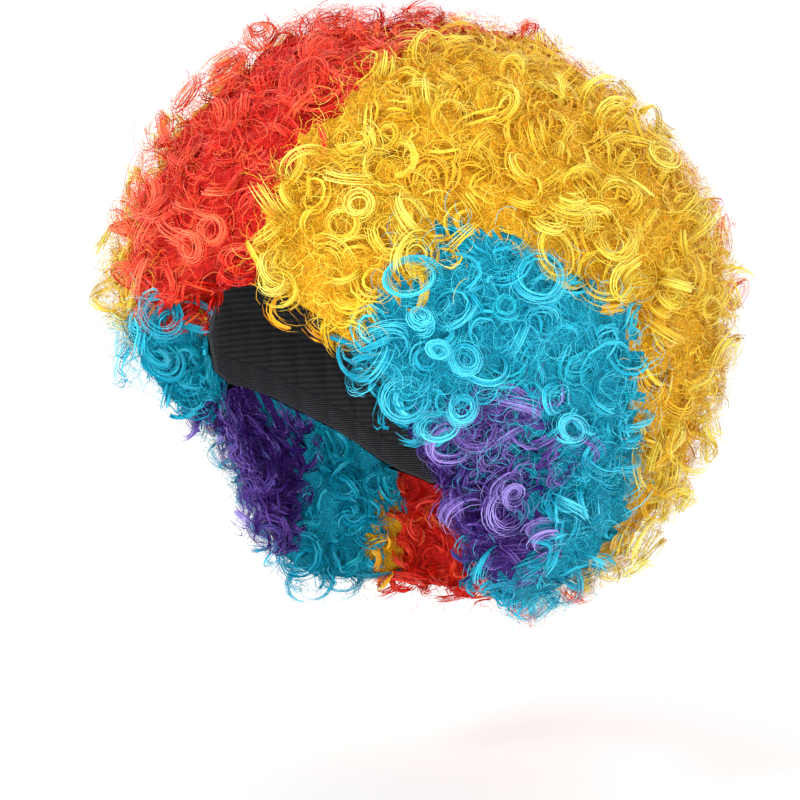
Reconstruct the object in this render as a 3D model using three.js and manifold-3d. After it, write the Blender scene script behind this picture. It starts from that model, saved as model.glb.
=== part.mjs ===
// A rainbow clown wig in the form that it has when worn: a stretch cap with an elastic edge band,
// and a ball of curly hair in seven coloured sections, open at the face and neck.
// Millimetres, +Z up. The wearer faces -Y, with the left side towards +X.
// The origin is the inside of the cap at the crown, where it sits on the top of the head.
import * as THREE from "three";
import { mergeVertices } from "three/addons/utils/BufferGeometryUtils.js";
import Module from "manifold-3d";

const wasm = await Module();
wasm.setup();

// The head that the cap fits
const HEAD_HALF_WIDTH = 77;
const HEAD_HALF_LENGTH = 97;
const HEAD_HALF_HEIGHT = 100;

// The cap, its band and how the sewn pieces lie on each other
const CAP_WALL = 2;
const BAND_WALL = 2.2;
const BAND_WIDTH = 14;
const SEAT_GAP = 0.3;

// The ball of hair, with its centre behind the crown and below it
const HAIR_RADIUS = 172;
const HAIR_CENTRE_BACK = 52;
const HAIR_CENTRE_DROP = 85;
const SECTION_GAP = 0.8;

// The curls that stand out of the ball
const CURL_RADIUS = 15;
const CURL_INNER_RADIUS = 11;
const CURL_WIDTH = 16;
const LOCK_RADIUS = 6.2;
const LOCK_TIP_RADIUS = 3.4;
const CURL_SPACING = 61;
const CURL_RISE = 1;
const CURL_GAP = 0.6;
const CURL_TURN = Math.PI * 2.1;

// Where the coloured sections meet, as shares of HAIR_RADIUS from the ball's centre.
// RED is seen from above: the strip reaches left and right of the middle by these amounts.
const RED = [
  { y: -1.3, left: 0.1, right: 0.26 },
  { y: -1, left: 0.1, right: 0.3 },
  { y: -0.9, left: 0.1, right: 0.5 },
  { y: -0.7, left: 0.16, right: 0.65 },
  { y: -0.4, left: 0.23, right: 0.55 },
  { y: -0.1, left: 0.25, right: 0.44 },
  { y: 0.3, left: 0.33, right: 0.4 },
  { y: 0.6, left: 0.6, right: 0.5 },
  { y: 0.8, left: 0.68, right: 0.6 },
  { y: 1.3, left: 0.7, right: 0.62 },
];
// The rest are outlines seen from the side. To the right of the face the red hangs no lower than
// RED_END, further out than RED_END_OUT.
const RED_END_OUT = 0.26;
const RED_END = [
  { y: -1.5, z: 0.06 },
  { y: -0.9, z: 0.06 },
  { y: -0.75, z: 0.18 },
  { y: -0.6, z: 0.42 },
  { y: 0.3, z: 0.42 },
  { y: 0.3, z: -1.5 },
  { y: -1.5, z: -1.5 },
];
const BLUE_LEFT = [
  { y: -1.5, z: 0.06 },
  { y: -0.9, z: 0.08 },
  { y: -0.83, z: 0.14 },
  { y: -0.78, z: 0.25 },
  { y: -0.7, z: 0.36 },
  { y: -0.54, z: 0.25 },
  { y: -0.35, z: 0.14 },
  { y: -0.19, z: -0.05 },
  { y: -0.1, z: -0.28 },
  { y: 0.07, z: -0.56 },
  { y: 0.15, z: -0.8 },
  { y: 0.25, z: -1.5 },
  { y: -1.5, z: -1.5 },
];
const BLUE_RIGHT = [
  { y: -1.5, z: 0.06 },
  { y: -0.85, z: 0.06 },
  { y: -0.54, z: -0.04 },
  { y: -0.35, z: -0.12 },
  { y: -0.19, z: -0.25 },
  { y: -0.1, z: -0.4 },
  { y: 0.07, z: -0.62 },
  { y: 0.15, z: -0.82 },
  { y: 0.25, z: -1.5 },
  { y: -1.5, z: -1.5 },
];
const PURPLE = [
  { y: -0.65, z: -0.17 },
  { y: -0.53, z: -0.17 },
  { y: -0.26, z: -0.43 },
  { y: -0.14, z: -0.73 },
  { y: -0.2, z: -0.84 },
  { y: -0.8, z: -0.84 },
  { y: -0.8, z: -0.34 },
  { y: -0.62, z: -0.34 },
];
// Seen from the front, blue and purple stay outside lines that lean in towards the neck.
const BLUE_OUT = { left: 0.42, right: 0.26 };
const PURPLE_OUT = 0.53;
const OUT_LEAN = 0.22;

// The lower edges of cap and hair, as angles from straight up at the head's and the ball's centre.
// Azimuth 0 is the face and 180 the nape.
const EDGES = [
  { azimuth: 0, cap: 61, hair: 77 },
  { azimuth: 10, cap: 61, hair: 83 },
  { azimuth: 20, cap: 64, hair: 89 },
  { azimuth: 30, cap: 68, hair: 99 },
  { azimuth: 40, cap: 76, hair: 117 },
  { azimuth: 50, cap: 86, hair: 138 },
  { azimuth: 60, cap: 96, hair: 151 },
  { azimuth: 75, cap: 102, hair: 156 },
  { azimuth: 90, cap: 104, hair: 158 },
  { azimuth: 120, cap: 118, hair: 161 },
  { azimuth: 150, cap: 135, hair: 164 },
  { azimuth: 180, cap: 141, hair: 165 },
];
// In front of the ears the ball is hollowed, by a share of its radius, round a place on either side
// and over a spread in degrees each way.
const EAR_HOLLOW = 0.3;
const EAR_HOLLOW_PLACE = { azimuth: 52, polar: 124 };
const EAR_HOLLOW_SPREAD = { azimuth: 30, polar: 22 };

// How finely the curved pieces are faceted
const AZIMUTH_STEPS = 30;
const CAP_ROWS = 6;
const HAIR_ROWS = 9;
const CURL_STEPS = 6;
const CURL_SIDES = 4;

const HAIR_CENTRE = new THREE.Vector3(0, HAIR_CENTRE_BACK, -HAIR_CENTRE_DROP);
const FULL_TURN = 2 * Math.PI;
const GOLDEN_TURN = Math.PI * (3 - Math.sqrt(5));
const REACH = 3 * HAIR_RADIUS;

// An azimuth in degrees away from the face on either side.
function sideAzimuth(azimuth) {
  return Math.abs(THREE.MathUtils.euclideanModulo(THREE.MathUtils.radToDeg(azimuth) + 180, 360) - 180);
}

// An EDGES column at an azimuth, in radians, between the rows.
function edgeAngle(azimuth, column) {
  const degrees = sideAzimuth(azimuth);
  const end = Math.max(EDGES.findIndex((row) => row.azimuth >= degrees), 1);
  const [from, to] = [EDGES[end - 1], EDGES[end]];
  const t = (degrees - from.azimuth) / (to.azimuth - from.azimuth);
  return THREE.MathUtils.degToRad(THREE.MathUtils.lerp(from[column], to[column], t));
}

// A direction by its azimuth from the face and its angle from straight up.
function direction(azimuth, polar) {
  return new THREE.Vector3(
    Math.sin(polar) * Math.sin(azimuth),
    -Math.sin(polar) * Math.cos(azimuth),
    Math.cos(polar),
  );
}

// A point at a height of offset over the head.
function headPoint(azimuth, polar, offset) {
  const size = new THREE.Vector3(HEAD_HALF_WIDTH, HEAD_HALF_LENGTH, HEAD_HALF_HEIGHT).addScalar(offset);
  const point = direction(azimuth, polar).multiply(size);
  point.z -= HEAD_HALF_HEIGHT;
  return point;
}

function hairPoint(azimuth, polar, rise = 0) {
  const across = (sideAzimuth(azimuth) - EAR_HOLLOW_PLACE.azimuth) / EAR_HOLLOW_SPREAD.azimuth;
  const down = (THREE.MathUtils.radToDeg(polar) - EAR_HOLLOW_PLACE.polar) / EAR_HOLLOW_SPREAD.polar;
  const radius = HAIR_RADIUS * (1 - EAR_HOLLOW * Math.exp(-across * across - down * down)) + rise;
  return direction(azimuth, polar).multiplyScalar(radius).add(HAIR_CENTRE);
}

// One point for each azimuth, all the way round.
function ring(pointAt) {
  return Array.from({ length: AZIMUTH_STEPS }, (_, i) => pointAt((i * FULL_TURN) / AZIMUTH_STEPS));
}

function solidOf(points, triangles) {
  return new wasm.Manifold(new wasm.Mesh({
    numProp: 3,
    vertProperties: new Float32Array(points.flatMap((p) => [p.x, p.y, p.z])),
    triVerts: new Uint32Array(triangles.flat()),
  }));
}

function solidOfGeometry(geometry) {
  geometry.deleteAttribute("normal");
  geometry.deleteAttribute("uv");
  const merged = mergeVertices(geometry, 1e-4);
  return new wasm.Manifold(new wasm.Mesh({
    numProp: 3,
    vertProperties: new Float32Array(merged.attributes.position.array),
    triVerts: new Uint32Array(merged.index.array),
  }));
}

// A skin over rows of points. Each row joins the next. The ends close on a point each, or on each
// other if no points are given.
function skin(rows, startPoint, endPoint) {
  const n = rows[0].length;
  const points = rows.flat();
  const triangles = [];
  const closed = startPoint === undefined;
  for (let r = 0; r < (closed ? rows.length : rows.length - 1); r++) {
    const upper = r * n;
    const lower = ((r + 1) % rows.length) * n;
    for (let i = 0; i < n; i++) {
      const j = (i + 1) % n;
      triangles.push([upper + i, lower + i, lower + j], [upper + i, lower + j, upper + j]);
    }
  }
  if (!closed) {
    const start = points.push(startPoint) - 1;
    const end = points.push(endPoint) - 1;
    const last = (rows.length - 1) * n;
    for (let i = 0; i < n; i++) {
      const j = (i + 1) % n;
      triangles.push([start, i, j], [end, last + j, last + i]);
    }
  }
  return solidOf(points, triangles);
}

// The angle on the head where the cap ends and the band starts, short of the rim by the band's width.
function bandStart(azimuth, gap) {
  const rim = edgeAngle(azimuth, "cap");
  const arm = Math.hypot(HEAD_HALF_HEIGHT * Math.sin(rim), HEAD_HALF_LENGTH * Math.cos(rim));
  return rim - (BAND_WIDTH + gap) / arm;
}

function capRow(share, offset) {
  return ring((azimuth) => headPoint(azimuth, share * bandStart(azimuth, SEAT_GAP), offset));
}

function buildCap() {
  const shares = Array.from({ length: CAP_ROWS }, (_, i) => (i + 1) / CAP_ROWS);
  const outside = shares.map((share) => capRow(share, CAP_WALL));
  const inside = shares.map((share) => capRow(share, 0)).reverse();
  return skin([...outside, ...inside], headPoint(0, 0, CAP_WALL), headPoint(0, 0, 0));
}

function buildBand() {
  const top = (offset) => ring((azimuth) => headPoint(azimuth, bandStart(azimuth, 0), offset));
  const rim = (offset) => ring((azimuth) => headPoint(azimuth, edgeAngle(azimuth, "cap"), offset));
  return skin([top(BAND_WALL), rim(BAND_WALL), rim(0), top(0)]);
}

// Rows over the cap and the band from the crown to the rim. They follow the rows of those pieces,
// so that the facets of hair and cap lie side by side.
function seatRows() {
  const capSeat = CAP_WALL + SEAT_GAP;
  const bandSeat = BAND_WALL + SEAT_GAP;
  const shares = Array.from({ length: CAP_ROWS }, (_, i) => (i + 1) / CAP_ROWS);
  const overCap = shares.map((share) => capRow(share, share < 1 ? capSeat : Math.max(capSeat, bandSeat)));
  const bandTop = ring((azimuth) => headPoint(azimuth, bandStart(azimuth, 0), Math.max(capSeat, bandSeat)));
  const bandRim = ring((azimuth) => headPoint(azimuth, edgeAngle(azimuth, "cap"), bandSeat));
  return [...overCap, bandTop, bandRim];
}

// The covered head's space as far down as the rim, closed by a hollow that runs up to its middle.
function buildCoveredHead() {
  return skin(seatRows(), headPoint(0, 0, CAP_WALL + SEAT_GAP), headPoint(0, Math.PI / 2, 0).setX(0).setY(0));
}

// The whole ball of hair before it is parted into colours, round the covered head and open below it.
function buildHairBall() {
  const shares = Array.from({ length: HAIR_ROWS }, (_, i) => 1 - (1 - (i + 1) / HAIR_ROWS) ** 1.3);
  const outside = shares.map((share) => ring((azimuth) => hairPoint(azimuth, share * edgeAngle(azimuth, "hair"))));
  const middle = headPoint(0, Math.PI / 2, 0).setX(0).setY(0);
  return skin([...outside, seatRows().at(-1)], hairPoint(0, 0), middle).subtract(buildCoveredHead());
}

// A prism with an outline in two axes, long enough to reach through the whole wig along the third.
function prism(outline, along) {
  const shape = new THREE.Shape(outline.map(([a, b]) => new THREE.Vector2(a, b)));
  const geometry = new THREE.ExtrudeGeometry(shape, { depth: 2 * REACH, bevelEnabled: false, steps: 1 });
  geometry.translate(0, 0, -REACH);
  const turns = { z: new THREE.Matrix4(), x: new THREE.Matrix4(), y: new THREE.Matrix4() };
  turns.x.makeBasis(new THREE.Vector3(0, 1, 0), new THREE.Vector3(0, 0, 1), new THREE.Vector3(1, 0, 0));
  turns.y.makeBasis(new THREE.Vector3(0, 0, 1), new THREE.Vector3(1, 0, 0), new THREE.Vector3(0, 1, 0));
  geometry.applyMatrix4(turns[along]);
  geometry.translate(HAIR_CENTRE.x, HAIR_CENTRE.y, HAIR_CENTRE.z);
  return solidOfGeometry(geometry);
}

// The corners of an outline in millimetres, each moved outwards by grow.
function grownOutline(outline, grow) {
  const corners = outline.map((p) => new THREE.Vector2(p.y, p.z).multiplyScalar(HAIR_RADIUS));
  return corners.map((corner, i) => {
    const first = corner.clone().sub(corners.at(i - 1)).normalize();
    const second = corners[(i + 1) % corners.length].clone().sub(corner).normalize();
    const outwards = new THREE.Vector2(-first.y - second.y, first.x + second.x).normalize();
    return corner.clone().addScaledVector(outwards, grow).toArray();
  });
}

// The zone of the red strip, widened by grow.
function redZone(grow) {
  const left = RED.map((row) => [row.left * HAIR_RADIUS + grow, row.y * HAIR_RADIUS]);
  const right = RED.map((row) => [-row.right * HAIR_RADIUS - grow, row.y * HAIR_RADIUS]).reverse();
  const out = -RED_END_OUT * HAIR_RADIUS - grow;
  const outside = prism([[-REACH, -REACH], [out, -REACH], [out, REACH], [-REACH, REACH]], "z");
  const end = prism(grownOutline(RED_END, -grow), "x").intersect(outside);
  return prism([...left, ...right], "z").subtract(end);
}

// The zone inside a side outline and outside a leaning line, widened by grow. side is 1 for the
// wearer's left and -1 for the right.
function sideZone(outline, side, out, grow) {
  const inner = (z) => out * HAIR_RADIUS + OUT_LEAN * z - grow;
  const outside = [[-REACH, inner(-REACH)], [-REACH, REACH], [REACH, REACH], [REACH, inner(REACH)]];
  return prism(grownOutline(outline, grow), "x").intersect(prism(outside.map(([z, x]) => [z, side * x]), "y"));
}

// The space that each coloured section takes on one side of the head.
function sideZones(side, blueOutline, blueOut) {
  const gap = SECTION_GAP / 2;
  const half = prism([[0, -REACH], [side * REACH, -REACH], [side * REACH, REACH], [0, REACH]], "z");
  const purple = (grow) => sideZone(PURPLE, side, PURPLE_OUT, grow);
  const lower = (grow) => sideZone(blueOutline, side, blueOut, grow);
  const blue = lower(-gap).subtract(purple(gap)).subtract(redZone(gap));
  const yellow = half.subtract(redZone(gap)).subtract(lower(gap));
  return { yellow, blue, purple: purple(-gap) };
}

// A lock that winds inwards round the z axis and thins towards its tip. grow thickens it.
function curl(grow) {
  const rows = [];
  for (let i = 0; i <= CURL_STEPS; i++) {
    const t = i / CURL_STEPS;
    const angle = t * CURL_TURN;
    const radius = THREE.MathUtils.lerp(CURL_RADIUS, CURL_INNER_RADIUS, t);
    const thickness = THREE.MathUtils.lerp(LOCK_RADIUS, LOCK_TIP_RADIUS, t) + grow;
    const outwards = new THREE.Vector3(Math.cos(angle), Math.sin(angle), 0);
    const centre = outwards.clone().multiplyScalar(radius);
    centre.z = (t - 0.5) * CURL_WIDTH;
    rows.push(Array.from({ length: CURL_SIDES }, (_, k) => {
      const turn = (k * FULL_TURN) / CURL_SIDES;
      const point = centre.clone().addScaledVector(outwards, thickness * Math.cos(turn));
      point.z += thickness * Math.sin(turn);
      return point;
    }));
  }
  const middle = (row) => row.reduce((sum, p) => sum.add(p), new THREE.Vector3()).divideScalar(row.length);
  return skin(rows, middle(rows[0]), middle(rows[CURL_STEPS]));
}

// Places of the curls, spread evenly over the ball by golden turns, each with its own tilt.
function curlPlaces() {
  const count = Math.round((2 * FULL_TURN * HAIR_RADIUS ** 2) / CURL_SPACING ** 2);
  const margin = CURL_RADIUS / HAIR_RADIUS / 2;
  const places = [];
  for (let i = 0; i < count; i++) {
    const polar = Math.acos(1 - (2 * i + 1) / count);
    const azimuth = (i * GOLDEN_TURN) % FULL_TURN;
    if (polar > edgeAngle(azimuth, "hair") - margin) continue;
    const outwards = direction(azimuth, polar);
    const tangent = new THREE.Vector3(-outwards.y, outwards.x, 0).normalize();
    const roll = i * GOLDEN_TURN * 1.7;
    const lean = THREE.MathUtils.lerp(0.6, 1.5, (i * 0.37) % 1);
    const sideways = tangent.applyAxisAngle(outwards, roll);
    const axis = outwards.clone().multiplyScalar(Math.cos(lean)).addScaledVector(sideways, Math.sin(lean));
    const inwards = outwards.clone().negate().addScaledVector(axis, outwards.dot(axis)).normalize();
    const across = new THREE.Vector3().crossVectors(axis, inwards);
    const centre = hairPoint(azimuth, polar, CURL_RISE * Math.sin(lean));
    const matrix = new THREE.Matrix4().makeBasis(inwards, across, axis).setPosition(centre);
    places.push({ centre, matrix });
  }
  return places;
}

function placed(solid, place) {
  return solid.transform(place.matrix.elements);
}

function holds(zone, point) {
  const probe = solidOfGeometry(new THREE.BoxGeometry(1, 1, 1).translate(point.x, point.y, point.z));
  return zone.intersect(probe).volume() > 0.5;
}

function union(solids, start) {
  return solids.reduce((sum, s) => sum.add(s), start);
}

function largest(solid) {
  return solid.decompose().reduce((a, b) => (b.volume() > a.volume() ? b : a));
}

// The coloured sections, with those whose curls lie over their neighbours' first.
function buildSections() {
  const left = sideZones(1, BLUE_LEFT, BLUE_OUT.left);
  const right = sideZones(-1, BLUE_RIGHT, BLUE_OUT.right);
  const sections = [
    { name: "hair_yellow_left", zone: left.yellow, colour: 0xf2bd1d },
    { name: "hair_yellow_right", zone: right.yellow, colour: 0xf2bd1d },
    { name: "hair_red", zone: redZone(-SECTION_GAP / 2), colour: 0xd8241f },
    { name: "hair_blue_left", zone: left.blue, colour: 0x12a3cf },
    { name: "hair_blue_right", zone: right.blue, colour: 0x12a3cf },
    { name: "hair_purple_left", zone: left.purple, colour: 0x5b2d9e },
    { name: "hair_purple_right", zone: right.purple, colour: 0x5b2d9e },
  ];
  const ball = buildHairBall();
  const head = buildCoveredHead();
  const lock = curl(0);
  const space = curl(CURL_GAP);
  const none = lock.subtract(lock);
  const places = curlPlaces();
  for (const place of places) place.section = sections.find((s) => holds(s.zone, place.centre));
  const taken = [];
  for (const section of sections) {
    const own = places.filter((place) => place.section === section);
    let curls = union(own.map((place) => placed(lock, place)), none);
    curls = curls.subtract(head);
    for (const earlier of taken) curls = curls.subtract(earlier.zone);
    let solid = ball.intersect(section.zone).add(curls);
    for (const earlier of taken) solid = solid.subtract(earlier.spaces);
    section.solid = largest(solid);
    taken.push({ zone: section.zone, spaces: union(own.map((place) => placed(space, place)), none) });
  }
  return sections;
}

function meshOf(name, solid, colour, roughness) {
  const made = solid.getMesh();
  const geometry = new THREE.BufferGeometry();
  geometry.setAttribute("position", new THREE.BufferAttribute(new Float32Array(made.vertProperties), 3));
  geometry.setIndex(new THREE.BufferAttribute(new Uint32Array(made.triVerts), 1));
  geometry.computeVertexNormals();
  const mesh = new THREE.Mesh(geometry, new THREE.MeshStandardMaterial({ color: colour, roughness, metalness: 0 }));
  mesh.name = name;
  return mesh;
}

const wig = new THREE.Group();
wig.add(meshOf("cap", buildCap(), 0x1b1b1e, 0.9));
wig.add(meshOf("edge_band", buildBand(), 0x26262a, 0.8));
for (const section of buildSections()) {
  wig.add(meshOf(section.name, section.solid, section.colour, 0.45));
}

export default wig;
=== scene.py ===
"""The dressed model of a rainbow clown wig, held up in the form that it has when worn."""
import math

import bpy
import numpy as np
from mathutils import Matrix, Vector


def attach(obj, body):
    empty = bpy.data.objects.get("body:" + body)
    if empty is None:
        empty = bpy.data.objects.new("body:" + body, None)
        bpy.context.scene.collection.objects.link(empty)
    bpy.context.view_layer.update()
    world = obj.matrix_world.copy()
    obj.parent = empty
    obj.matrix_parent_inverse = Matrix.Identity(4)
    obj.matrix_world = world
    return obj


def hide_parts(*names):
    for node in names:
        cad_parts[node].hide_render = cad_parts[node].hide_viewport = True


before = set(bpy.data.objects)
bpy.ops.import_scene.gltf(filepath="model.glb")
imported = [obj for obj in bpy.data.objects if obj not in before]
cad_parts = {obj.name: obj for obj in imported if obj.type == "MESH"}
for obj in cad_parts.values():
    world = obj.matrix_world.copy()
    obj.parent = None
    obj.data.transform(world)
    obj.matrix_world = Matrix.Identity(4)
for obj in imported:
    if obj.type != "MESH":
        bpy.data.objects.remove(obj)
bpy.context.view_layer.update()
rng = np.random.default_rng(7)
MM = 0.001

# The ball of hair and the head in it, as in the part's source
RADIUS = 172 * MM
CENTRE = np.array([0, 52, -85]) * MM
HEAD = np.array([77, 97, 100]) * MM
HEAD_CENTRE = np.array([0, 0, -HEAD[2]])
CAP_SEAT = 2.5 * MM
HAIR_STARTS = HEAD + 3.5 * MM
# Azimuth from the face, and how far down the cap's rim and the hair's edge lie, in degrees
EDGES = np.array([
    (0, 61, 77), (10, 61, 83), (20, 64, 89), (30, 68, 99), (40, 76, 117), (50, 86, 138),
    (60, 96, 151), (75, 102, 156), (90, 104, 158), (120, 118, 161), (150, 135, 164), (180, 141, 165),
])
# The hollow for the ear: its share of the radius, its place and its spread in degrees
HOLLOW, HOLLOW_AZ, HOLLOW_POL, HOLLOW_DAZ, HOLLOW_DPOL = 0.3, 52, 124, 30, 22
# The colours' borders, in shares of the ball's radius. Red: y, and how far it goes left and right
RED = np.array([
    (-1.3, 0.1, 0.26), (-1, 0.1, 0.3), (-0.9, 0.1, 0.5), (-0.7, 0.16, 0.65), (-0.4, 0.23, 0.55),
    (-0.1, 0.25, 0.44), (0.3, 0.33, 0.4), (0.6, 0.6, 0.5), (0.8, 0.68, 0.6), (1.3, 0.7, 0.62),
])
# Outlines in y and z
RED_END_OUT = 0.26
RED_END = [(-1.5, 0.06), (-0.9, 0.06), (-0.75, 0.18), (-0.6, 0.42), (0.3, 0.42), (0.3, -1.5), (-1.5, -1.5)]
BLUE_LEFT = [
    (-1.5, 0.06), (-0.9, 0.08), (-0.83, 0.14), (-0.78, 0.25), (-0.7, 0.36), (-0.54, 0.25),
    (-0.35, 0.14), (-0.19, -0.05), (-0.1, -0.28), (0.07, -0.56), (0.15, -0.8), (0.25, -1.5), (-1.5, -1.5),
]
BLUE_RIGHT = [
    (-1.5, 0.06), (-0.85, 0.06), (-0.54, -0.04), (-0.35, -0.12), (-0.19, -0.25), (-0.1, -0.4),
    (0.07, -0.62), (0.15, -0.82), (0.25, -1.5), (-1.5, -1.5),
]
PURPLE = [
    (-0.65, -0.17), (-0.53, -0.17), (-0.26, -0.43), (-0.14, -0.73), (-0.2, -0.84), (-0.8, -0.84),
    (-0.8, -0.34), (-0.62, -0.34),
]
BLUE_OUT_LEFT, BLUE_OUT_RIGHT, PURPLE_OUT, OUT_LEAN = 0.42, 0.26, 0.53, 0.22

# Locks take the colour of a place above them, because hair falls. At the back left they take it from
# nearer the middle, where the red hair spreads over the yellow. Each starts up to its scatter away.
FALL = np.array([0, -1, 4]) * MM
SPREAD = np.array([-19, 0, 0]) * MM
SPREAD_STARTS = 0.3
LOCK_SCATTER = 5 * MM
OWN_SCATTER = 0.6

# Where the hair stands out or lies flat: direction from the ball's centre, mm, spread in degrees
TUFTS = [
    (-0.388, -0.185, 0.902, 14, 15),
    (-0.449, -0.233, 0.863, 5, 8),
    (-0.653, -0.405, 0.640, 12, 11),
    (-0.806, -0.567, 0.173, 6, 12),
    (-0.809, -0.588, 0.000, 8, 6),
    (-0.768, -0.586, -0.258, -26, 12),
    (0.794, 0.550, -0.258, -9, 20),
    (0.536, 0.466, 0.704, -8, 20),
    (0.449, 0.233, -0.863, 2, 20),
    (0.270, 0.220, 0.940, 5, 8),
    (0.420, -0.050, 0.900, -7, 9),
    (0.440, 0.520, 0.730, 11, 7),
    (0.600, 0.680, 0.420, 13, 7),
    (0.620, 0.770, 0.120, 17, 8),
]

SECTIONS = [
    "hair_red", "hair_yellow_left", "hair_yellow_right", "hair_blue_left", "hair_blue_right",
    "hair_purple_left", "hair_purple_right",
]
COLOUR = ["red", "yellow", "yellow", "blue", "blue", "purple", "purple"]
IN_RED, YELLOW_LEFT, YELLOW_RIGHT, IN_BLUE_LEFT, IN_BLUE_RIGHT, PURPLE_LEFT, PURPLE_RIGHT = range(7)

# The camera at the photograph's angle
PIXELS = 800
AZIMUTH, ELEVATION = math.radians(36), math.radians(5)
DISTANCE = 1.27
SENSOR_WIDTH = 36
FRAME_WIDTH = 0.457
BALL_AT = (421, 321)
towards = Vector((
    math.cos(ELEVATION) * math.sin(AZIMUTH), -math.cos(ELEVATION) * math.cos(AZIMUTH), math.sin(ELEVATION),
))
right = Vector((math.cos(AZIMUTH), math.sin(AZIMUTH), 0))
up = towards.cross(right)
pixel = FRAME_WIDTH / PIXELS
aim = Vector(CENTRE) - right * (BALL_AT[0] - PIXELS / 2) * pixel + up * (BALL_AT[1] - PIXELS / 2) * pixel
camera = bpy.data.objects.new("camera", bpy.data.cameras.new("camera"))
camera.data.sensor_width = SENSOR_WIDTH
camera.data.lens = SENSOR_WIDTH * DISTANCE / FRAME_WIDTH
camera.data.clip_start = 0.05
camera.matrix_world = Matrix.Translation(aim + towards * DISTANCE) @ Matrix(
    (right, up, towards)
).transposed().to_4x4()
bpy.context.scene.collection.objects.link(camera)
bpy.context.scene.camera = camera


def unit(v):
    return v / np.maximum(np.linalg.norm(v, axis=-1, keepdims=True), 1e-9)


def direction(az, pol):
    """A direction by its azimuth from the face and its angle from straight up."""
    return np.stack([np.sin(pol) * np.sin(az), -np.sin(pol) * np.cos(az), np.cos(pol)], -1)


def angles(v):
    """Azimuth and polar angle of directions from the ball's centre."""
    v = unit(v)
    return np.arctan2(v[..., 0], -v[..., 1]), np.arccos(np.clip(v[..., 2], -1, 1))


def side_azimuth(az):
    return np.abs((np.degrees(az) + 180) % 360 - 180)


def cap_edge(az):
    return np.radians(np.interp(side_azimuth(az), EDGES[:, 0], EDGES[:, 1]))


def hair_edge(az):
    return np.radians(np.interp(side_azimuth(az), EDGES[:, 0], EDGES[:, 2]))


def hair_radius(az, pol):
    """How far the hair's surface is from the ball's centre."""
    across = (side_azimuth(az) - HOLLOW_AZ) / HOLLOW_DAZ
    down = (np.degrees(pol) - HOLLOW_POL) / HOLLOW_DPOL
    return RADIUS * (1 - HOLLOW * np.exp(-across**2 - down**2))


def head_point(az, pol, offset):
    """A point offset from the head's surface."""
    return direction(az, pol) * (HEAD + offset) + HEAD_CENTRE


def within(outline, a, b):
    """Which points (a, b) lie inside an outline."""
    hit = np.zeros(np.shape(a), bool)
    for (a0, b0), (a1, b1) in zip(outline, outline[1:] + outline[:1]):
        if b0 != b1:
            hit ^= ((b0 > b) != (b1 > b)) & (a < a0 + (b - b0) * (a1 - a0) / (b1 - b0))
    return hit


def section_of(points):
    """The coloured section that each point lies in, as an index into SECTIONS."""
    x, y, z = np.moveaxis((points - CENTRE) / RADIUS, -1, 0)
    red = (x < np.interp(y, RED[:, 0], RED[:, 1])) & (x > -np.interp(y, RED[:, 0], RED[:, 2]))
    red &= ~((x < -RED_END_OUT) & within(RED_END, y, z))
    blue_left = within(BLUE_LEFT, y, z) & (x > BLUE_OUT_LEFT + OUT_LEAN * z)
    blue_right = within(BLUE_RIGHT, y, z) & (-x > BLUE_OUT_RIGHT + OUT_LEAN * z)
    purple = within(PURPLE, y, z) & (np.abs(x) > PURPLE_OUT + OUT_LEAN * z)
    section = np.where(x > 0, YELLOW_LEFT, YELLOW_RIGHT)
    section = np.where(blue_left, IN_BLUE_LEFT, section)
    section = np.where(blue_right, IN_BLUE_RIGHT, section)
    section = np.where(purple & (x > 0), PURPLE_LEFT, section)
    section = np.where(purple & (x < 0), PURPLE_RIGHT, section)
    return np.where(red, IN_RED, section)


def overlapping_section(points):
    """The section of each lock: hair falls over its neighbours, but not over purple."""
    away = rng.normal(0, LOCK_SCATTER, points.shape)
    own = section_of(points + away * OWN_SCATTER)
    back = np.clip((points[:, 1:2] - CENTRE[1]) / RADIUS / SPREAD_STARTS - 1, 0, 1) * (points[:, :1] > 0)
    return np.where(own >= PURPLE_LEFT, own, section_of(points + FALL + SPREAD * back + away))


def wobble(t, count, amplitude, waves=3):
    """Smooth random curves over t, one per row: shape count + t's."""
    total = np.zeros(tuple(count) + t.shape)
    for k in range(1, waves + 1):
        phase = rng.uniform(0, 2 * np.pi, tuple(count) + (1,))
        size = rng.normal(0, amplitude / k, tuple(count) + (1,))
        total += size * np.sin(2 * np.pi * k * 0.7 * t + phase)
    return total


def clear_of_head(path):
    """Moves points that lie in the head or the cap out to just over the cap."""
    v = (path - HEAD_CENTRE) / HAIR_STARTS
    far = np.linalg.norm(v, axis=-1, keepdims=True)
    return np.where(far < 1, v / np.maximum(far, 1e-6) * HAIR_STARTS + HEAD_CENTRE, path)


def in_head(points):
    return np.linalg.norm((points - HEAD_CENTRE) / HAIR_STARTS, axis=-1) < 1


class Strands:
    """Ribbons of hair, gathered by section, with a tint for each point."""

    def __init__(self):
        self.parts = {i: [] for i in range(len(SECTIONS))}

    def add(self, section, path, facing, half, shade, hue):
        """path, facing: (n, m, 3). half, shade: (n, m). hue: (n,). Each ribbon lies flat to facing."""
        path = clear_of_head(path)
        along = unit(np.gradient(path, axis=1))
        across = unit(np.cross(along, facing))
        for i in range(len(SECTIONS)):
            mine = section == i
            if mine.any():
                self.parts[i].append((path[mine], across[mine], half[mine], shade[mine], hue[mine]))


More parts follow.
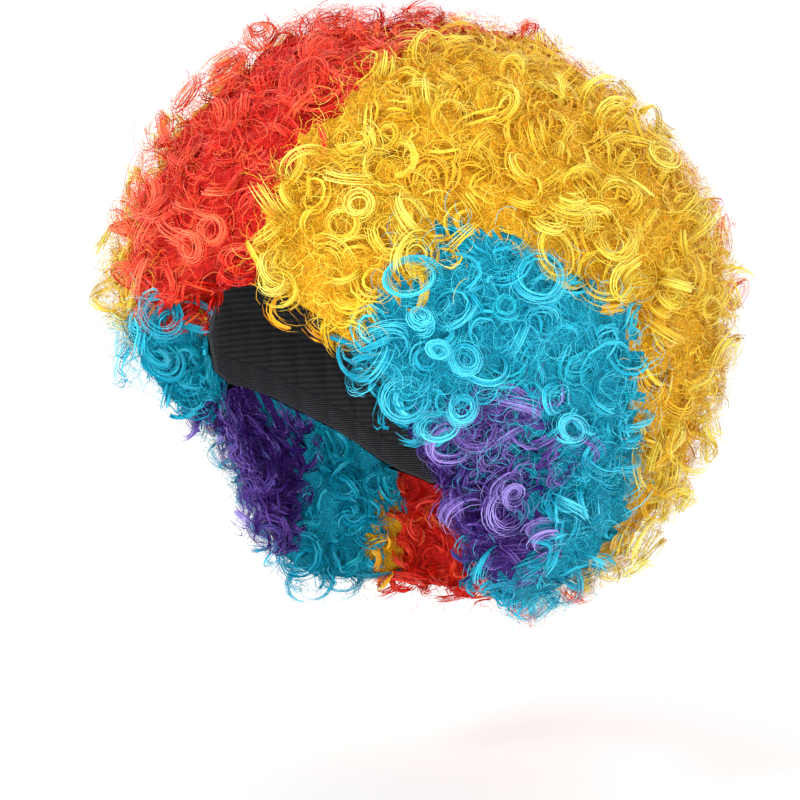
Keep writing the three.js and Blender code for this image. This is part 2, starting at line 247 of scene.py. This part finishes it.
def mesh_object(name, verts, quads, tint=None):
    mesh = bpy.data.meshes.new(name)
    mesh.vertices.add(len(verts))
    mesh.vertices.foreach_set("co", np.ascontiguousarray(verts, np.float32).ravel())
    mesh.loops.add(quads.size)
    mesh.loops.foreach_set("vertex_index", np.ascontiguousarray(quads, np.int32).ravel())
    mesh.polygons.add(len(quads))
    mesh.polygons.foreach_set("loop_start", np.arange(0, quads.size, 4, dtype=np.int32))
    mesh.update(calc_edges=True)
    mesh.polygons.foreach_set("use_smooth", np.ones(len(quads), bool))
    if tint is not None:
        made = mesh.color_attributes.new("tint", "FLOAT_COLOR", "POINT")
        made.data.foreach_set("color", np.ascontiguousarray(tint, np.float32).ravel())
    ob = bpy.data.objects.new(name, mesh)
    bpy.context.scene.collection.objects.link(ob)
    return ob


def ribbon_mesh(name, parts):
    """One mesh of many ribbons. The tint holds the painted shade (with random tone), hue, mm across and the
    share along.
    """
    verts, quads, tints, start = [], [], [], 0
    for path, across, half, shade, hue in parts:
        n, m = shade.shape
        off = across * half[..., None]
        verts.append(np.stack([path - off, path + off], 2).reshape(-1, 3))
        tint = np.ones((n, m, 2, 4))
        tint[..., 0] = shade[..., None]
        tint[..., 1] = hue[:, None, None]
        tint[..., 2] = (half.max(1) * 2 / MM)[:, None, None] * np.array([0, 1])
        tint[..., 3] = np.linspace(0, 1, m)[None, :, None]
        tints.append(tint.reshape(-1, 4))
        base = start + np.arange(n)[:, None] * 2 * m + np.arange(m - 1)[None] * 2
        quads.append(np.stack([base, base + 1, base + 3, base + 2], -1).reshape(-1, 4))
        start += n * m * 2
    return mesh_object(name, np.concatenate(verts), np.concatenate(quads), np.concatenate(tints))


def across_of(out):
    """Two directions square to each outward one."""
    east = unit(np.cross(np.array([0.03, 0.02, 1]), out))
    return east, np.cross(out, east)


def col(a):
    """One value for each lock, shaped to go with (lock, hair, step)."""
    return a[:, None, None]


FINE_WIDTH = 0.3 * MM
# Painted shade: darkest this far under the lock's place, where the hair lies in shade, and lighter over this
# much height
DARK_BELOW, DARK_TO_BRIGHT = 9 * MM, 21 * MM
DARKEST, BRIGHTER = 0.02, 0.75
USUAL_HUE = 0.42


def drift(n, k, s):
    """Where each hair of a lock lies across it: mostly the same from end to end."""
    begin, end = rng.normal(0, 1, (2, n, k, 1))
    return begin * (1 - 0.25 * s) + end * 0.65 * s


def add_curls(hair, place, out, locks, fine, steps, top, radius, turns, pitch, lean, spread, width):
    """Springy locks. Each coils up from its root to a top that is top over place.

    A lock is so many broad ribbons (locks) and narrow ones (fine), all facing outwards.
    """
    n, k = len(place), locks + fine
    east, north = across_of(out)
    roll = rng.uniform(0, 2 * np.pi, n)
    side = east * np.cos(roll)[:, None] + north * np.sin(roll)[:, None]
    axis = out * np.cos(lean)[:, None] + side * np.sin(lean)[:, None]
    first = unit(np.cross(axis, unit(rng.normal(size=(n, 3)))))
    second = np.cross(axis, first)
    height = turns * pitch
    reach = radius * np.sin(lean) + height / 2 * np.cos(lean)
    centre = place + out * (top - reach)[:, None]
    section = overlapping_section(CENTRE + unit(place - CENTRE) * RADIUS)

    t = np.linspace(0, 1, steps)
    begin = rng.uniform(0, 0.1, (n, k, 1))
    end = rng.uniform(0.82, 1, (n, k, 1))
    s = begin + (end - begin) * t
    turn = rng.choice([-1, 1], (n, 1, 1))
    angle = rng.uniform(0, 2 * np.pi, (n, 1, 1)) + turn * 2 * np.pi * col(turns) * s
    angle = angle * rng.normal(1, 0.03, (n, k, 1)) + rng.normal(0, 0.15, (n, k, 1)) + wobble(t, (n, 1), 0.22)
    flatten = rng.uniform(0.7, 1, (n, 1, 1))
    taper = rng.uniform(0.05, 0.5, (n, 1, 1))
    fan = rng.uniform(0.6, 1.0, (n, 1, 1)) + rng.uniform(-0.3, 0.6, (n, 1, 1)) * s**2
    loose = np.where(np.arange(k) < locks, 1, 1.5)[None, :, None]
    r_off = drift(n, k, s) * fan * loose
    h_off = drift(n, k, s) * fan * loose
    r = col(radius) * (1 + taper * (0.5 - s)) + col(spread) * r_off
    r = np.abs(r + wobble(t, (n, 1), 1.2 * MM) + wobble(t, (n, k), 0.2 * MM))
    h = (s - 0.5) * col(height) + col(spread) * h_off + wobble(t, (n, 1), 1.4 * MM)
    radial = (
        first[:, None, None] * np.cos(angle)[..., None]
        + second[:, None, None] * (np.sin(angle) * flatten)[..., None]
    )
    path = centre[:, None, None] + axis[:, None, None] * h[..., None] + radial * r[..., None]
    turned = rng.normal(0, 0.3, (2, n, k, 1, 3)) + rng.normal(0, 0.3, (2, n, 1, 1, 3))
    facing = (
        out[:, None, None]
        + radial * (0.55 + 0.6 * r_off[..., None]) + axis[:, None, None] * 0.6 * h_off[..., None]
        + turned[0] * s[..., None] + turned[1] * (1 - s[..., None])
    )
    ends = np.minimum(1, np.minimum(t * 6 + 0.5, (1 - t) * 3 + 0.1))
    widths = np.where(np.arange(k)[None] < locks, rng.uniform(0.6, 1.25, (n, k)) * width, FINE_WIDTH)
    half = widths[..., None] / 2 * ends
    # Painted shade: the lower a hair lies, the darker its tint; with random tone for each lock and each hair
    height_over = np.sum((path - place[:, None, None]) * out[:, None, None], -1)
    shade = DARKEST + BRIGHTER * np.clip((height_over + DARK_BELOW) / DARK_TO_BRIGHT, 0, 1)
    shade = shade + rng.normal(0, 0.11, (n, 1, 1)) + rng.normal(0, 0.09, (n, k, 1))
    hue = np.clip(rng.normal(USUAL_HUE, 0.15, (n, 1)) + rng.normal(0, 0.13, (n, k)), 0, 1)
    flat = [a.reshape((n * k,) + a.shape[2:]) for a in (path, facing, half, shade, hue)]
    hair.add(np.repeat(section, k), *flat)


def lumps(out, count, slow, fast, seed):
    """A smooth uneven height for each direction, with a spread of about 1."""
    r = np.random.default_rng(seed)
    total = np.zeros(out.shape[:-1])
    for _ in range(count):
        wave = r.normal(size=3)
        wave *= r.uniform(slow, fast) / np.linalg.norm(wave)
        total += np.sin(out @ wave + r.uniform(0, 2 * np.pi))
    return total * (2 / count) ** 0.5


def swell(out):
    """How much further the hair stands out in one place than in another, in mm."""
    total = 4 - 8 * np.clip(out[..., 2], 0, 1) ** 2 + np.clip(-out[..., 2] * 2 - 1, 0, 1)
    for x, y, z, extra, spread in TUFTS:
        away = np.degrees(np.arccos(np.clip(out @ np.array([x, y, z]), -1, 1)))
        total = total + extra * np.exp(-((away / spread) ** 2))
    return total


EDGE_MARGIN = 1 * MM
JITTER = 0.3
GOLDEN_TURN = np.pi * (3 - 5**0.5)


def over_ball(spacing):
    """Points spread over the hair, spacing apart, and the outward direction at each."""
    count = int(4 * np.pi * RADIUS**2 / spacing**2)
    i = np.arange(count)
    v = direction((i * GOLDEN_TURN) % (2 * np.pi), np.arccos(1 - (2 * i + 1) / count))
    out = unit(v + rng.normal(0, JITTER * spacing / RADIUS, (count, 3)))
    az, pol = angles(out)
    keep = pol < hair_edge(az) - EDGE_MARGIN / RADIUS
    az, pol, out = az[keep], pol[keep], out[keep]
    return CENTRE + out * hair_radius(az, pol)[:, None], out


def under_ball(spacing):
    """Points over the underside of the hair, between its edge and the cap's, facing the neck."""
    grid = base_grid()[ROWS - 1:]
    mid = (grid[:-1] + grid[1:]) / 2
    down = grid[1:] - grid[:-1]
    around = np.roll(grid[:-1], -1, 1) - np.roll(grid[:-1], 1, 1)
    facing = unit(np.cross(around, down))
    size = np.linalg.norm(down, axis=-1) * np.linalg.norm(around, axis=-1) / 2
    chosen = rng.random(size.shape) < size / spacing**2
    return mid[chosen], facing[chosen]


# How much of the swell the single hairs follow, how far they stand over their start, and how far
# they stray over a colour's border
FRIZZ_SWELL = 0.8
FRIZZ_RISE = 4 * MM
FRIZZ_STRAY = 7 * MM


def add_frizz(hair, count, steps, low, high, width):
    """Single curved hairs lying loose over the curls, between the heights low and high."""
    out = unit(rng.normal(size=(count, 3)))
    az, pol = angles(out)
    keep = pol < hair_edge(az)
    az, pol, out = az[keep], pol[keep], out[keep]
    n = len(az)
    surface = hair_radius(az, pol)
    height = rng.uniform(low, high, n)
    level = surface + FRIZZ_SWELL * swell(out) * MM + height
    start = CENTRE + out * level[:, None]
    east, north = across_of(out)
    heading = rng.uniform(0, 2 * np.pi, n)
    ahead = east * np.cos(heading)[:, None] + north * np.sin(heading)[:, None]
    tilt = rng.normal(0, 0.5, n)
    bend = np.cross(out, ahead) * np.cos(tilt)[:, None] + out * np.sin(tilt)[:, None]
    t = np.linspace(0, 1, steps)
    radius = rng.uniform(4, 11, n)[:, None] * MM
    sweep = rng.uniform(1, 3.2, n)[:, None] * (t - 0.5)
    path = (
        start[:, None]
        + ahead[:, None] * (radius * np.sin(sweep))[..., None]
        + bend[:, None] * (radius * (1 - np.cos(sweep)))[..., None]
        + out[:, None] * wobble(t, (n,), 1.5 * MM)[..., None]
    )
    v = path - CENTRE
    far = np.linalg.norm(v, axis=-1, keepdims=True)
    path = CENTRE + v * np.minimum(1, col(level + FRIZZ_RISE) / far)
    facing = out[:, None] + rng.normal(0, 0.4, (n, 1, 3))
    ends = np.minimum(1, np.minimum(t, 1 - t) * 5 + 0.3)
    half = width / 2 * ends * rng.uniform(0.7, 1.2, (n, 1))
    # Painted shade: frizz lying lower is darker, with random tone for each hair
    shade = 0.2 + 0.4 * (height - low) / (high - low) + rng.normal(0, 0.2, n)
    section = section_of(CENTRE + out * surface[:, None] + rng.normal(0, FRIZZ_STRAY, (n, 3)))
    hair.add(section, path, facing, half, np.broadcast_to(shade[:, None], half.shape), rng.uniform(0, 1, n))


# The backing: its rows, how deep it lies, and the share of the swell that it follows
AROUND, ROWS, UNDER_ROWS = 180, 84, 10
BASE_DEPTH = 6 * MM
BASE_LUMPS = 2
BASE_SWELL = 0.6
BASE_END = 0.985
BORDER_WAVES = 3 * MM


def base_grid():
    """The dense inner hair: a lumpy skin under the curls, and its underside up to the cap's edge."""
    az = np.arange(AROUND) * 2 * np.pi / AROUND
    share = 1 - (1 - np.linspace(0, 1, ROWS)) ** 1.15
    pol = share[:, None] * hair_edge(az)[None] * BASE_END
    az2 = np.broadcast_to(az, pol.shape)
    out = direction(az2, pol)
    edge = np.minimum(1, (1 - share[:, None]) * 9)
    radius = hair_radius(az2, pol) - BASE_DEPTH * (0.3 + 0.7 * edge)
    radius = radius + (lumps(out, 60, 30, 110, 3) * BASE_LUMPS + swell(out) * BASE_SWELL) * MM * edge
    outer = CENTRE + out * radius[..., None]
    seat = head_point(az, cap_edge(az), CAP_SEAT)
    mix = np.linspace(0, 1, UNDER_ROWS + 1)[1:, None, None]
    inner = outer[-1][None] * (1 - mix) + seat[None] * mix
    return np.concatenate([outer, inner])


def build_base(grid):
    """The backing as one mesh for each section, without what lies in the head."""
    rows, around, _ = grid.shape
    i, j = np.meshgrid(np.arange(rows - 1), np.arange(around), indexing="ij")
    k = (j + 1) % around
    here, below = i * around, (i + 1) * around
    quads = np.stack([here + j, below + j, below + k, here + k], -1).reshape(-1, 4)
    verts = grid.reshape(-1, 3)
    quads = quads[~in_head(verts)[quads].all(1)]
    verts = clear_of_head(verts)
    middle = verts[quads].mean(1)
    radial = unit(middle - CENTRE)
    az, pol = angles(radial)
    at = CENTRE + radial * hair_radius(az, pol)[:, None]
    waves = np.stack([lumps(radial, 40, 60, 200, seed) for seed in (4, 5, 6)], -1)
    section = section_of(at + BORDER_WAVES * waves)
    made = {}
    for s, name in enumerate(SECTIONS):
        mine = quads[section == s]
        used, index = np.unique(mine, return_inverse=True)
        made[s] = mesh_object(f"{name}_depth", verts[used], index.reshape(-1, 4))
    return made


# Materials
PALETTE = {
    # shaded, body, lit and stray colours: the shaded one is painted shade and the lit one painted highlight
    # of the body colour
    "red": ((0.60, 0.005, 0.003), (0.76, 0.024, 0.011), (0.90, 0.18, 0.08), (0.92, 0.30, 0.05)),
    "yellow": ((0.80, 0.34, 0.005), (0.75, 0.55, 0.025), (0.86, 0.78, 0.15), (0.85, 0.38, 0.02)),
    "blue": ((0.002, 0.26, 0.40), (0.007, 0.45, 0.64), (0.12, 0.74, 0.90), (0.0, 0.46, 0.46)),
    "purple": ((0.034, 0.009, 0.14), (0.11, 0.036, 0.30), (0.39, 0.30, 0.78), (0.04, 0.12, 0.42)),
}


def node(tree, kind, **values):
    made = tree.nodes.new(kind)
    for key, value in values.items():
        setattr(made, key, value)
    return made


def hair_material(colour):
    shaded, body, lit, stray = PALETTE[colour]
    mat = bpy.data.materials.new(f"{colour}_fibre")
    mat.use_nodes = True
    tree = mat.node_tree
    link = tree.links.new
    shader = tree.nodes["Principled BSDF"]
    tint = node(tree, "ShaderNodeAttribute", attribute_name="tint")
    parts = node(tree, "ShaderNodeSeparateColor")
    link(tint.outputs["Color"], parts.inputs[0])
    lines = node(tree, "ShaderNodeCombineXYZ")
    link(parts.outputs[2], lines.inputs[0])
    link(tint.outputs["Alpha"], lines.inputs[1])
    link(parts.outputs[1], lines.inputs[2])
    stretch = node(tree, "ShaderNodeVectorMath", operation="MULTIPLY")
    link(lines.outputs[0], stretch.inputs[0])
    stretch.inputs[1].default_value = (1.9, 1.2, 700)
    fine = node(tree, "ShaderNodeTexNoise")
    fine.inputs["Scale"].default_value = 1
    fine.inputs["Detail"].default_value = 2
    link(stretch.outputs[0], fine.inputs["Vector"])
    uneven = node(tree, "ShaderNodeMath", operation="MULTIPLY_ADD")
    link(fine.outputs["Fac"], uneven.inputs[0])
    uneven.inputs[1].default_value = 1.6
    uneven.inputs[2].default_value = -0.8
    # The level is the tint's painted shade plus streaks along the fibres, which add painted shade and
    # painted highlight streaks
    level = node(tree, "ShaderNodeMath", operation="ADD")
    link(parts.outputs[0], level.inputs[0])
    link(uneven.outputs[0], level.inputs[1])
    # The ramp paints the level from the shaded colour through the body colour to the lit colour: painted
    # shade and painted highlight
    ramp = node(tree, "ShaderNodeValToRGB")
    points = ramp.color_ramp.elements
    points[0].position, points[0].color = 0.0, (*shaded, 1)
    points[1].position, points[1].color = 1.0, (*lit, 1)
    middle = points.new(0.45)
    middle.color = (*body, 1)
    link(level.outputs[0], ramp.inputs[0])
    far = node(tree, "ShaderNodeMapRange")
    link(parts.outputs[1], far.inputs["Value"])
    far.inputs["From Min"].default_value = 0.55
    far.inputs["From Max"].default_value = 1.0
    far.inputs["To Max"].default_value = 0.55
    mix = node(tree, "ShaderNodeMix", data_type="RGBA")
    link(far.outputs[0], mix.inputs["Factor"])
    link(ramp.outputs[0], mix.inputs["A"])
    mix.inputs["B"].default_value = (*stray, 1)
    link(mix.outputs["Result"], shader.inputs["Base Color"])
    rough = node(tree, "ShaderNodeMapRange")
    link(fine.outputs["Fac"], rough.inputs["Value"])
    rough.inputs["To Min"].default_value = 0.2
    rough.inputs["To Max"].default_value = 0.36
    link(rough.outputs[0], shader.inputs["Roughness"])
    bump = node(tree, "ShaderNodeBump")
    bump.inputs["Distance"].default_value = 0.0004
    bump.inputs["Strength"].default_value = 0.7
    link(fine.outputs["Fac"], bump.inputs["Height"])
    link(bump.outputs[0], shader.inputs["Normal"])
    shader.inputs["Specular IOR Level"].default_value = 0.8
    shader.inputs["Specular Tint"].default_value = (*(0.15 + 0.85 * c for c in lit), 1)
    return mat


# The dense inner hair, coloured from the shaded colour to half shaded, half body colour: painted shade under
# the curls, in a wavy fibre pattern
def depth_material(colour):
    shaded, body, _, _ = PALETTE[colour]
    mat = bpy.data.materials.new(f"{colour}_underlayer")
    mat.use_nodes = True
    tree = mat.node_tree
    link = tree.links.new
    shader = tree.nodes["Principled BSDF"]
    place = node(tree, "ShaderNodeTexCoord")
    lines = node(tree, "ShaderNodeTexWave")
    lines.inputs["Scale"].default_value = 150
    lines.inputs["Distortion"].default_value = 28
    lines.inputs["Detail"].default_value = 3
    lines.inputs["Detail Scale"].default_value = 1.2
    link(place.outputs["Object"], lines.inputs["Vector"])
    ramp = node(tree, "ShaderNodeValToRGB")
    points = ramp.color_ramp.elements
    points[0].position, points[0].color = 0.2, (*shaded, 1)
    points[1].position, points[1].color = 0.9, (*(0.5 * c + 0.5 * d for c, d in zip(body, shaded)), 1)
    link(lines.outputs["Fac"], ramp.inputs[0])
    link(ramp.outputs[0], shader.inputs["Base Color"])
    bump = node(tree, "ShaderNodeBump")
    bump.inputs["Distance"].default_value = 0.0008
    link(lines.outputs["Fac"], bump.inputs["Height"])
    link(bump.outputs[0], shader.inputs["Normal"])
    shader.inputs["Roughness"].default_value = 0.7
    shader.inputs["Specular IOR Level"].default_value = 0.2
    return mat


def cloth_material(name, colour, scale, rough):
    mat = bpy.data.materials.new(name)
    mat.use_nodes = True
    tree = mat.node_tree
    link = tree.links.new
    shader = tree.nodes["Principled BSDF"]
    place = node(tree, "ShaderNodeTexCoord")
    rows = node(tree, "ShaderNodeTexWave", bands_direction="Z")
    rows.inputs["Scale"].default_value = scale
    rows.inputs["Distortion"].default_value = 0.6
    link(place.outputs["Object"], rows.inputs["Vector"])
    threads = node(tree, "ShaderNodeTexNoise")
    threads.inputs["Scale"].default_value = 900
    link(place.outputs["Object"], threads.inputs["Vector"])
    both = node(tree, "ShaderNodeMath", operation="MULTIPLY")
    link(rows.outputs["Fac"], both.inputs[0])
    link(threads.outputs["Fac"], both.inputs[1])
    ramp = node(tree, "ShaderNodeValToRGB")
    points = ramp.color_ramp.elements
    points[0].color = (*(0.4 * c for c in colour), 1)
    points[1].color = (*(1.8 * c for c in colour), 1)
    link(both.outputs[0], ramp.inputs[0])
    link(ramp.outputs[0], shader.inputs["Base Color"])
    bump = node(tree, "ShaderNodeBump")
    bump.inputs["Distance"].default_value = 0.0006
    link(both.outputs[0], bump.inputs["Height"])
    link(bump.outputs[0], shader.inputs["Normal"])
    shader.inputs["Roughness"].default_value = rough
    return mat


# The hair
hair = Strands()
place, out = over_ball(20.5 * MM)
n = len(place)
loose = rng.random(n) < 0.4
tall = rng.random(n) < 0.07
heap = lumps(out, 40, 14, 38, 11)
add_curls(
    hair, place, out, locks=8, fine=7, steps=21,
    top=(np.clip(np.where(tall, 13, rng.uniform(2, 11, n)) + 4.3 * heap, -4, 15) + swell(out)) * MM,
    radius=np.where(tall, rng.uniform(5, 8, n), rng.triangular(6, 9, 14, n)) * MM,
    turns=np.where(tall, rng.uniform(1.5, 2, n), rng.uniform(0.9, 1.8, n)),
    pitch=np.where(loose & ~tall, rng.uniform(9, 16, n), rng.uniform(3.5, 8, n)) * MM,
    lean=np.where(
        tall, rng.uniform(0, 0.6, n), np.where(loose, rng.uniform(0.9, 1.57, n), rng.uniform(0.1, 1.15, n))
    ),
    spread=rng.uniform(1.4, 2.7, n) * MM,
    width=0.65 * MM,
)
place, out = over_ball(15.5 * MM)
n = len(place)
add_curls(
    hair, place, out, locks=6, fine=0, steps=10,
    top=(rng.uniform(-4, 3, n) + 0.5 * swell(out)) * MM,
    radius=rng.uniform(6, 13, n) * MM,
    turns=rng.uniform(0.6, 1.05, n),
    pitch=rng.uniform(3, 8, n) * MM,
    lean=rng.uniform(0.1, 1.3, n),
    spread=rng.uniform(1.8, 3, n) * MM,
    width=1.5 * MM,
)
place, out = under_ball(11 * MM)
n = len(place)
add_curls(
    hair, place, out, locks=6, fine=2, steps=12,
    top=rng.uniform(2, 6, n) * MM,
    radius=rng.uniform(6, 10, n) * MM,
    turns=rng.uniform(0.7, 1.2, n),
    pitch=rng.uniform(3, 7, n) * MM,
    lean=rng.uniform(0.1, 1.3, n),
    spread=rng.uniform(1.5, 2.5, n) * MM,
    width=1.3 * MM,
)
add_frizz(hair, count=23500, steps=7, low=-3 * MM, high=8.5 * MM, width=0.22 * MM)

MOST_TRIANGLES = 180000


def curl_pieces(name, parts):
    """A section's ribbons as pieces of at most MOST_TRIANGLES."""
    pieces, batch, size = [], [], 0
    for part in parts:
        ribbons, steps = part[2].shape
        each = 2 * (steps - 1)
        while ribbons:
            take = min(ribbons, (MOST_TRIANGLES - size) // each)
            batch.append(tuple(values[:take] for values in part))
            part = tuple(values[take:] for values in part)
            ribbons -= take
            size += take * each
            if ribbons:
                pieces.append(ribbon_mesh(f"{name}_curls_{len(pieces) + 1}", batch))
                batch, size = [], 0
    pieces.append(ribbon_mesh(f"{name}_curls_{len(pieces) + 1}", batch))
    return pieces


fibre = {c: hair_material(c) for c in PALETTE}
under = {c: depth_material(c) for c in PALETTE}
bases = build_base(base_grid())
for s, name in enumerate(SECTIONS):
    dressed = [(bases[s], under)] + [(piece, fibre) for piece in curl_pieces(name, hair.parts[s])]
    for piece, material in dressed:
        piece.data.materials.append(material[COLOUR[s]])
        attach(piece, "root")
        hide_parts(name)

# The cap and its band keep their CAD shapes
for name, mat in (
    ("cap", cloth_material("stretch_net", (0.035, 0.035, 0.04), 90, 0.85)),
    ("edge_band", cloth_material("woven_elastic", (0.06, 0.06, 0.068), 260, 0.7)),
):
    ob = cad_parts[name]
    ob.data.materials.clear()
    ob.data.materials.append(mat)


# Studio
FLOOR_HALF, FLOOR_LEVEL = 8, -0.36
WORLD_STRENGTH = 1.16


def lamp(name, place, size, power):
    light = bpy.data.lights.new(name, "AREA")
    light.shape = "DISK"
    light.size = size
    light.energy = power
    ob = bpy.data.objects.new(name, light)
    ob.location = place
    ob.rotation_euler = (Vector(CENTRE) - Vector(place)).to_track_quat("-Z", "Y").to_euler()
    bpy.context.scene.collection.objects.link(ob)


lamp("key", (-0.4, -1.5, 1.0), 0.5, 14)
lamp("fill", (1.5, -1.1, -0.2), 0.8, 14)
lamp("low", (0.3, -1.6, -0.25), 0.6, 6)
lamp("top", (0.3, 0.2, 1.7), 1.0, 2)
world = bpy.data.worlds.new("studio")
world.use_nodes = True
background = world.node_tree.nodes["Background"]
background.inputs["Color"].default_value = (1, 1, 1, 1)
background.inputs["Strength"].default_value = WORLD_STRENGTH
bpy.context.scene.world = world
bpy.context.scene.view_settings.view_transform = "Standard"

corners = [(x * FLOOR_HALF, y * FLOOR_HALF, FLOOR_LEVEL) for x, y in ((-1, -1), (1, -1), (1, 1), (-1, 1))]
floor = mesh_object("floor", np.array(corners), np.array([(0, 1, 2, 3)]))
floor_mat = bpy.data.materials.new("pale_floor")
floor_mat.use_nodes = True
floor_shader = floor_mat.node_tree.nodes["Principled BSDF"]
floor_shader.inputs["Base Color"].default_value = (0.9, 0.9, 0.9, 1)
floor_shader.inputs["Roughness"].default_value = 0.9
floor.data.materials.append(floor_mat)
